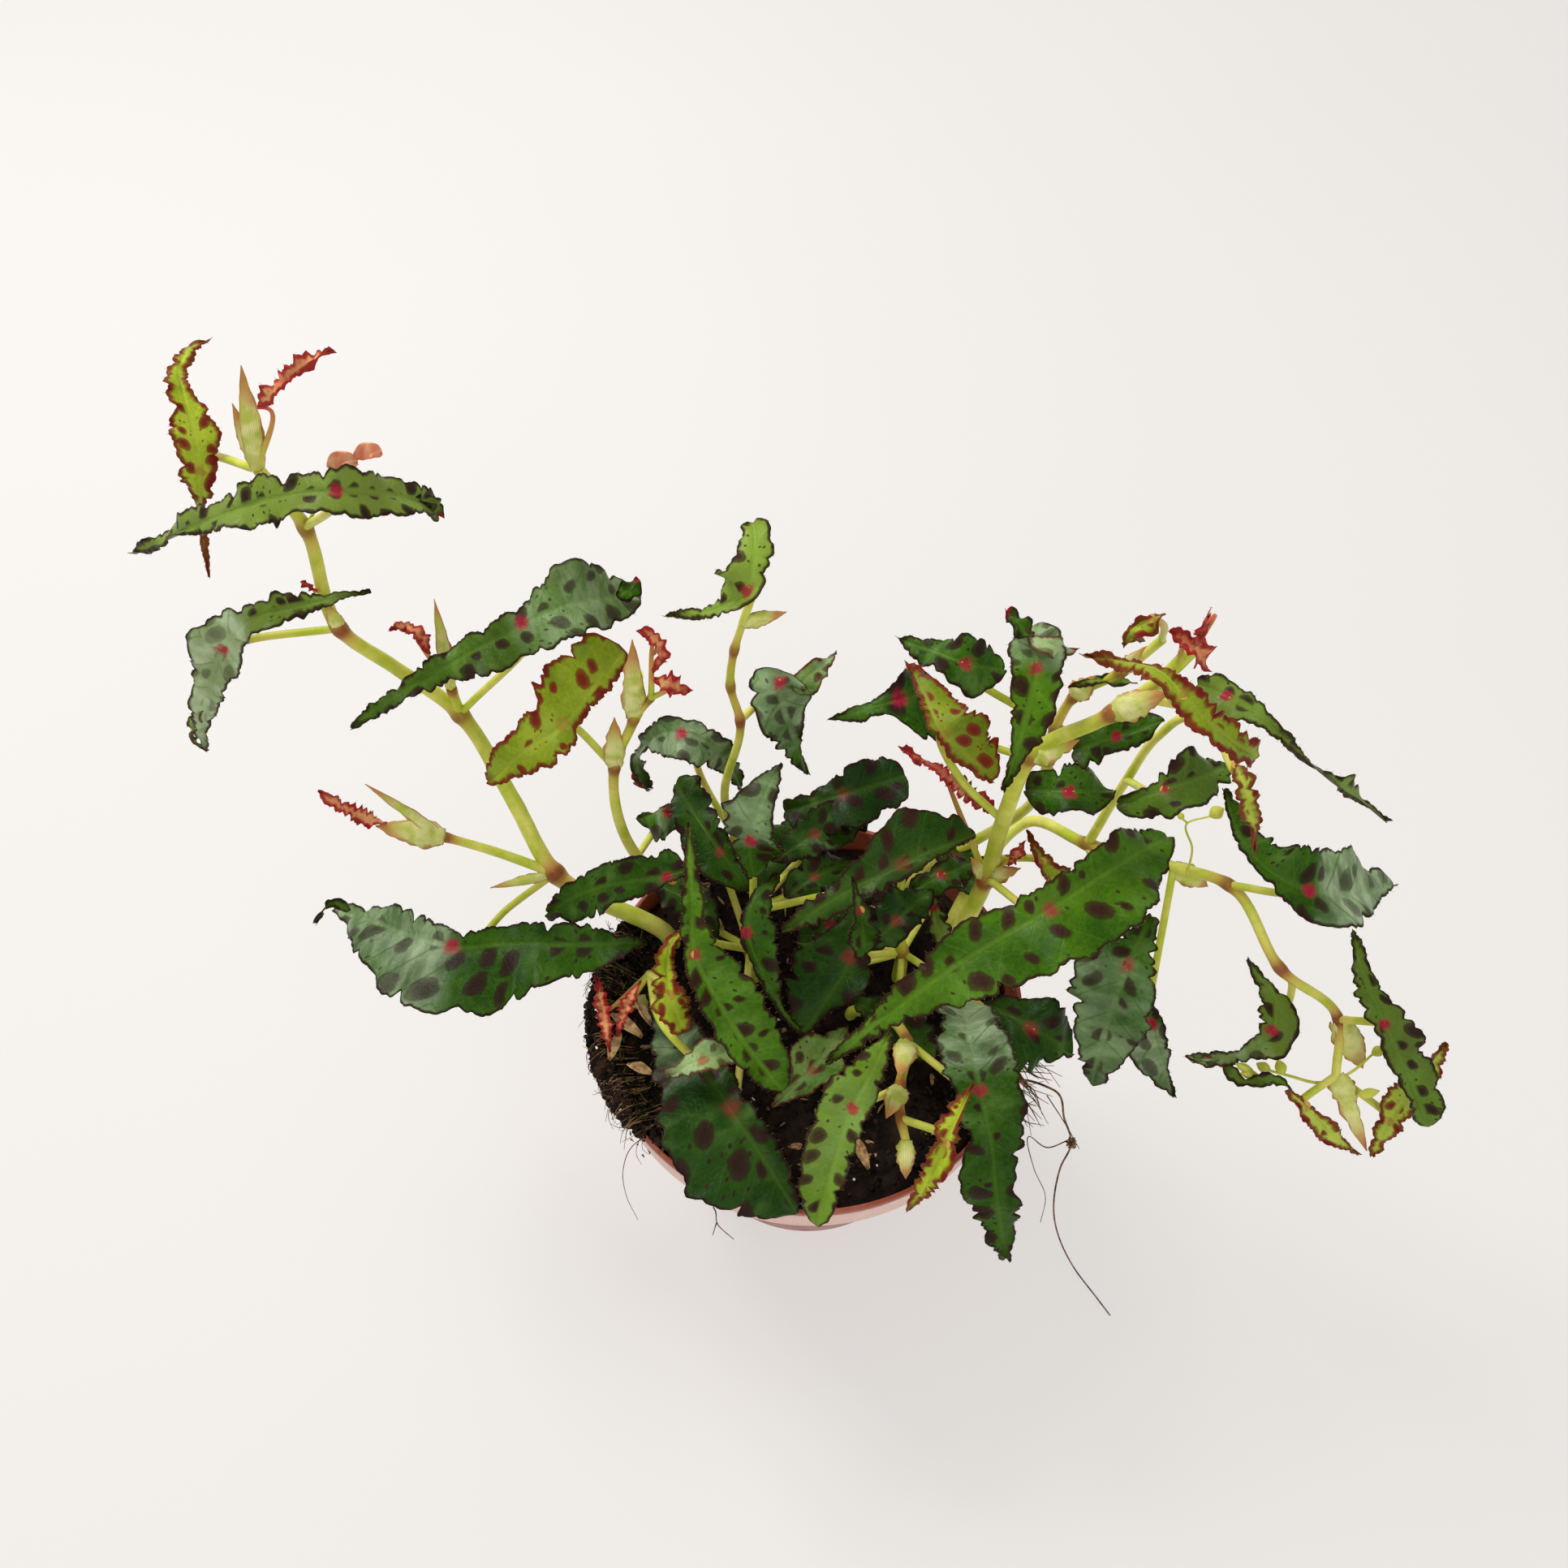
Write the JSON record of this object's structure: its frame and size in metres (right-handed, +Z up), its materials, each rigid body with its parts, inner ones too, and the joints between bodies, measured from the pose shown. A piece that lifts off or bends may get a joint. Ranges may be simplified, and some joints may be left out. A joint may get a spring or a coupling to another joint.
{
  "type": "potted plant",
  "caption": "Begonia with spotted, wavy pointed leaves and pale jointed canes, growing in peat in a round plastic nursery pot.",
  "frame": {"origin": "middle of the pot's foot, on the surface that it stands on", "axes": "+Z up along the pot's axis, +X to the right and +Y away from the side that the plant is seen from"},
  "size_m": [0.3438, 0.1816, 0.2591],
  "materials": {
    "leaf_bright": null,
    "leaf_dark": null,
    "leaf_pale": null,
    "leaf_red": null,
    "leaf_young": null,
    "peat": null,
    "stem_green": null,
    "terracotta_plastic": "moulded terracotta-coloured plastic, slightly glossy"
  },
  "bodies": {
    "root": {"cane_back": "stem_green", "cane_centre": "stem_green", "cane_left": "stem_green", "cane_left_middle": "stem_green", "cane_rear": "stem_green", "cane_trailing": "stem_green", "leaf_back_1": "leaf_bright", "leaf_back_2": "leaf_dark", "leaf_back_3": "leaf_dark", "leaf_broad": "leaf_bright", "leaf_centre_1": "leaf_bright", "leaf_centre_10": "leaf_dark", "leaf_centre_11": "leaf_young", "leaf_centre_2": "leaf_young", "leaf_centre_3": "leaf_dark", "leaf_centre_4": "leaf_dark", "leaf_centre_5": "leaf_young", "leaf_centre_6": "leaf_dark", "leaf_centre_7": "leaf_dark", "leaf_centre_8": "leaf_dark", "leaf_centre_9": "leaf_red", "leaf_crown_1": "leaf_bright", "leaf_crown_10": "leaf_dark", "leaf_crown_11": "leaf_dark", "leaf_crown_2": "leaf_dark", "leaf_crown_3": "leaf_dark", "leaf_crown_4": "leaf_bright", "leaf_crown_5": "leaf_dark", "leaf_crown_6": "leaf_dark", "leaf_crown_7": "leaf_dark", "leaf_crown_8": "leaf_pale", "leaf_crown_9": "leaf_dark", "leaf_front_1": "leaf_dark", "leaf_front_2": "leaf_bright", "leaf_front_3": "leaf_dark", "leaf_front_4": "leaf_young", "leaf_front_5": "leaf_pale", "leaf_front_6": "leaf_young", "leaf_left_1": "leaf_young", "leaf_left_2": "leaf_dark", "leaf_left_3": "leaf_dark", "leaf_left_4": "leaf_dark", "leaf_left_5": "leaf_dark", "leaf_middle_1": "leaf_young", "leaf_middle_2": "leaf_dark", "leaf_right_1": "leaf_dark", "leaf_right_2": "leaf_dark", "leaf_right_3": "leaf_dark", "leaf_trailing_1": "leaf_dark", "leaf_trailing_2": "leaf_dark", "leaf_trailing_3": "leaf_dark", "leaf_trailing_4": "leaf_young", "leaf_trailing_5": "leaf_young", "pot": "terracotta_plastic", "shoot_front": "stem_green", "shoot_low_left": "stem_green", "soil": "peat", "stem_middle_left": "stem_green", "stem_middle_right": "stem_green"}
  },
  "joints": []
}
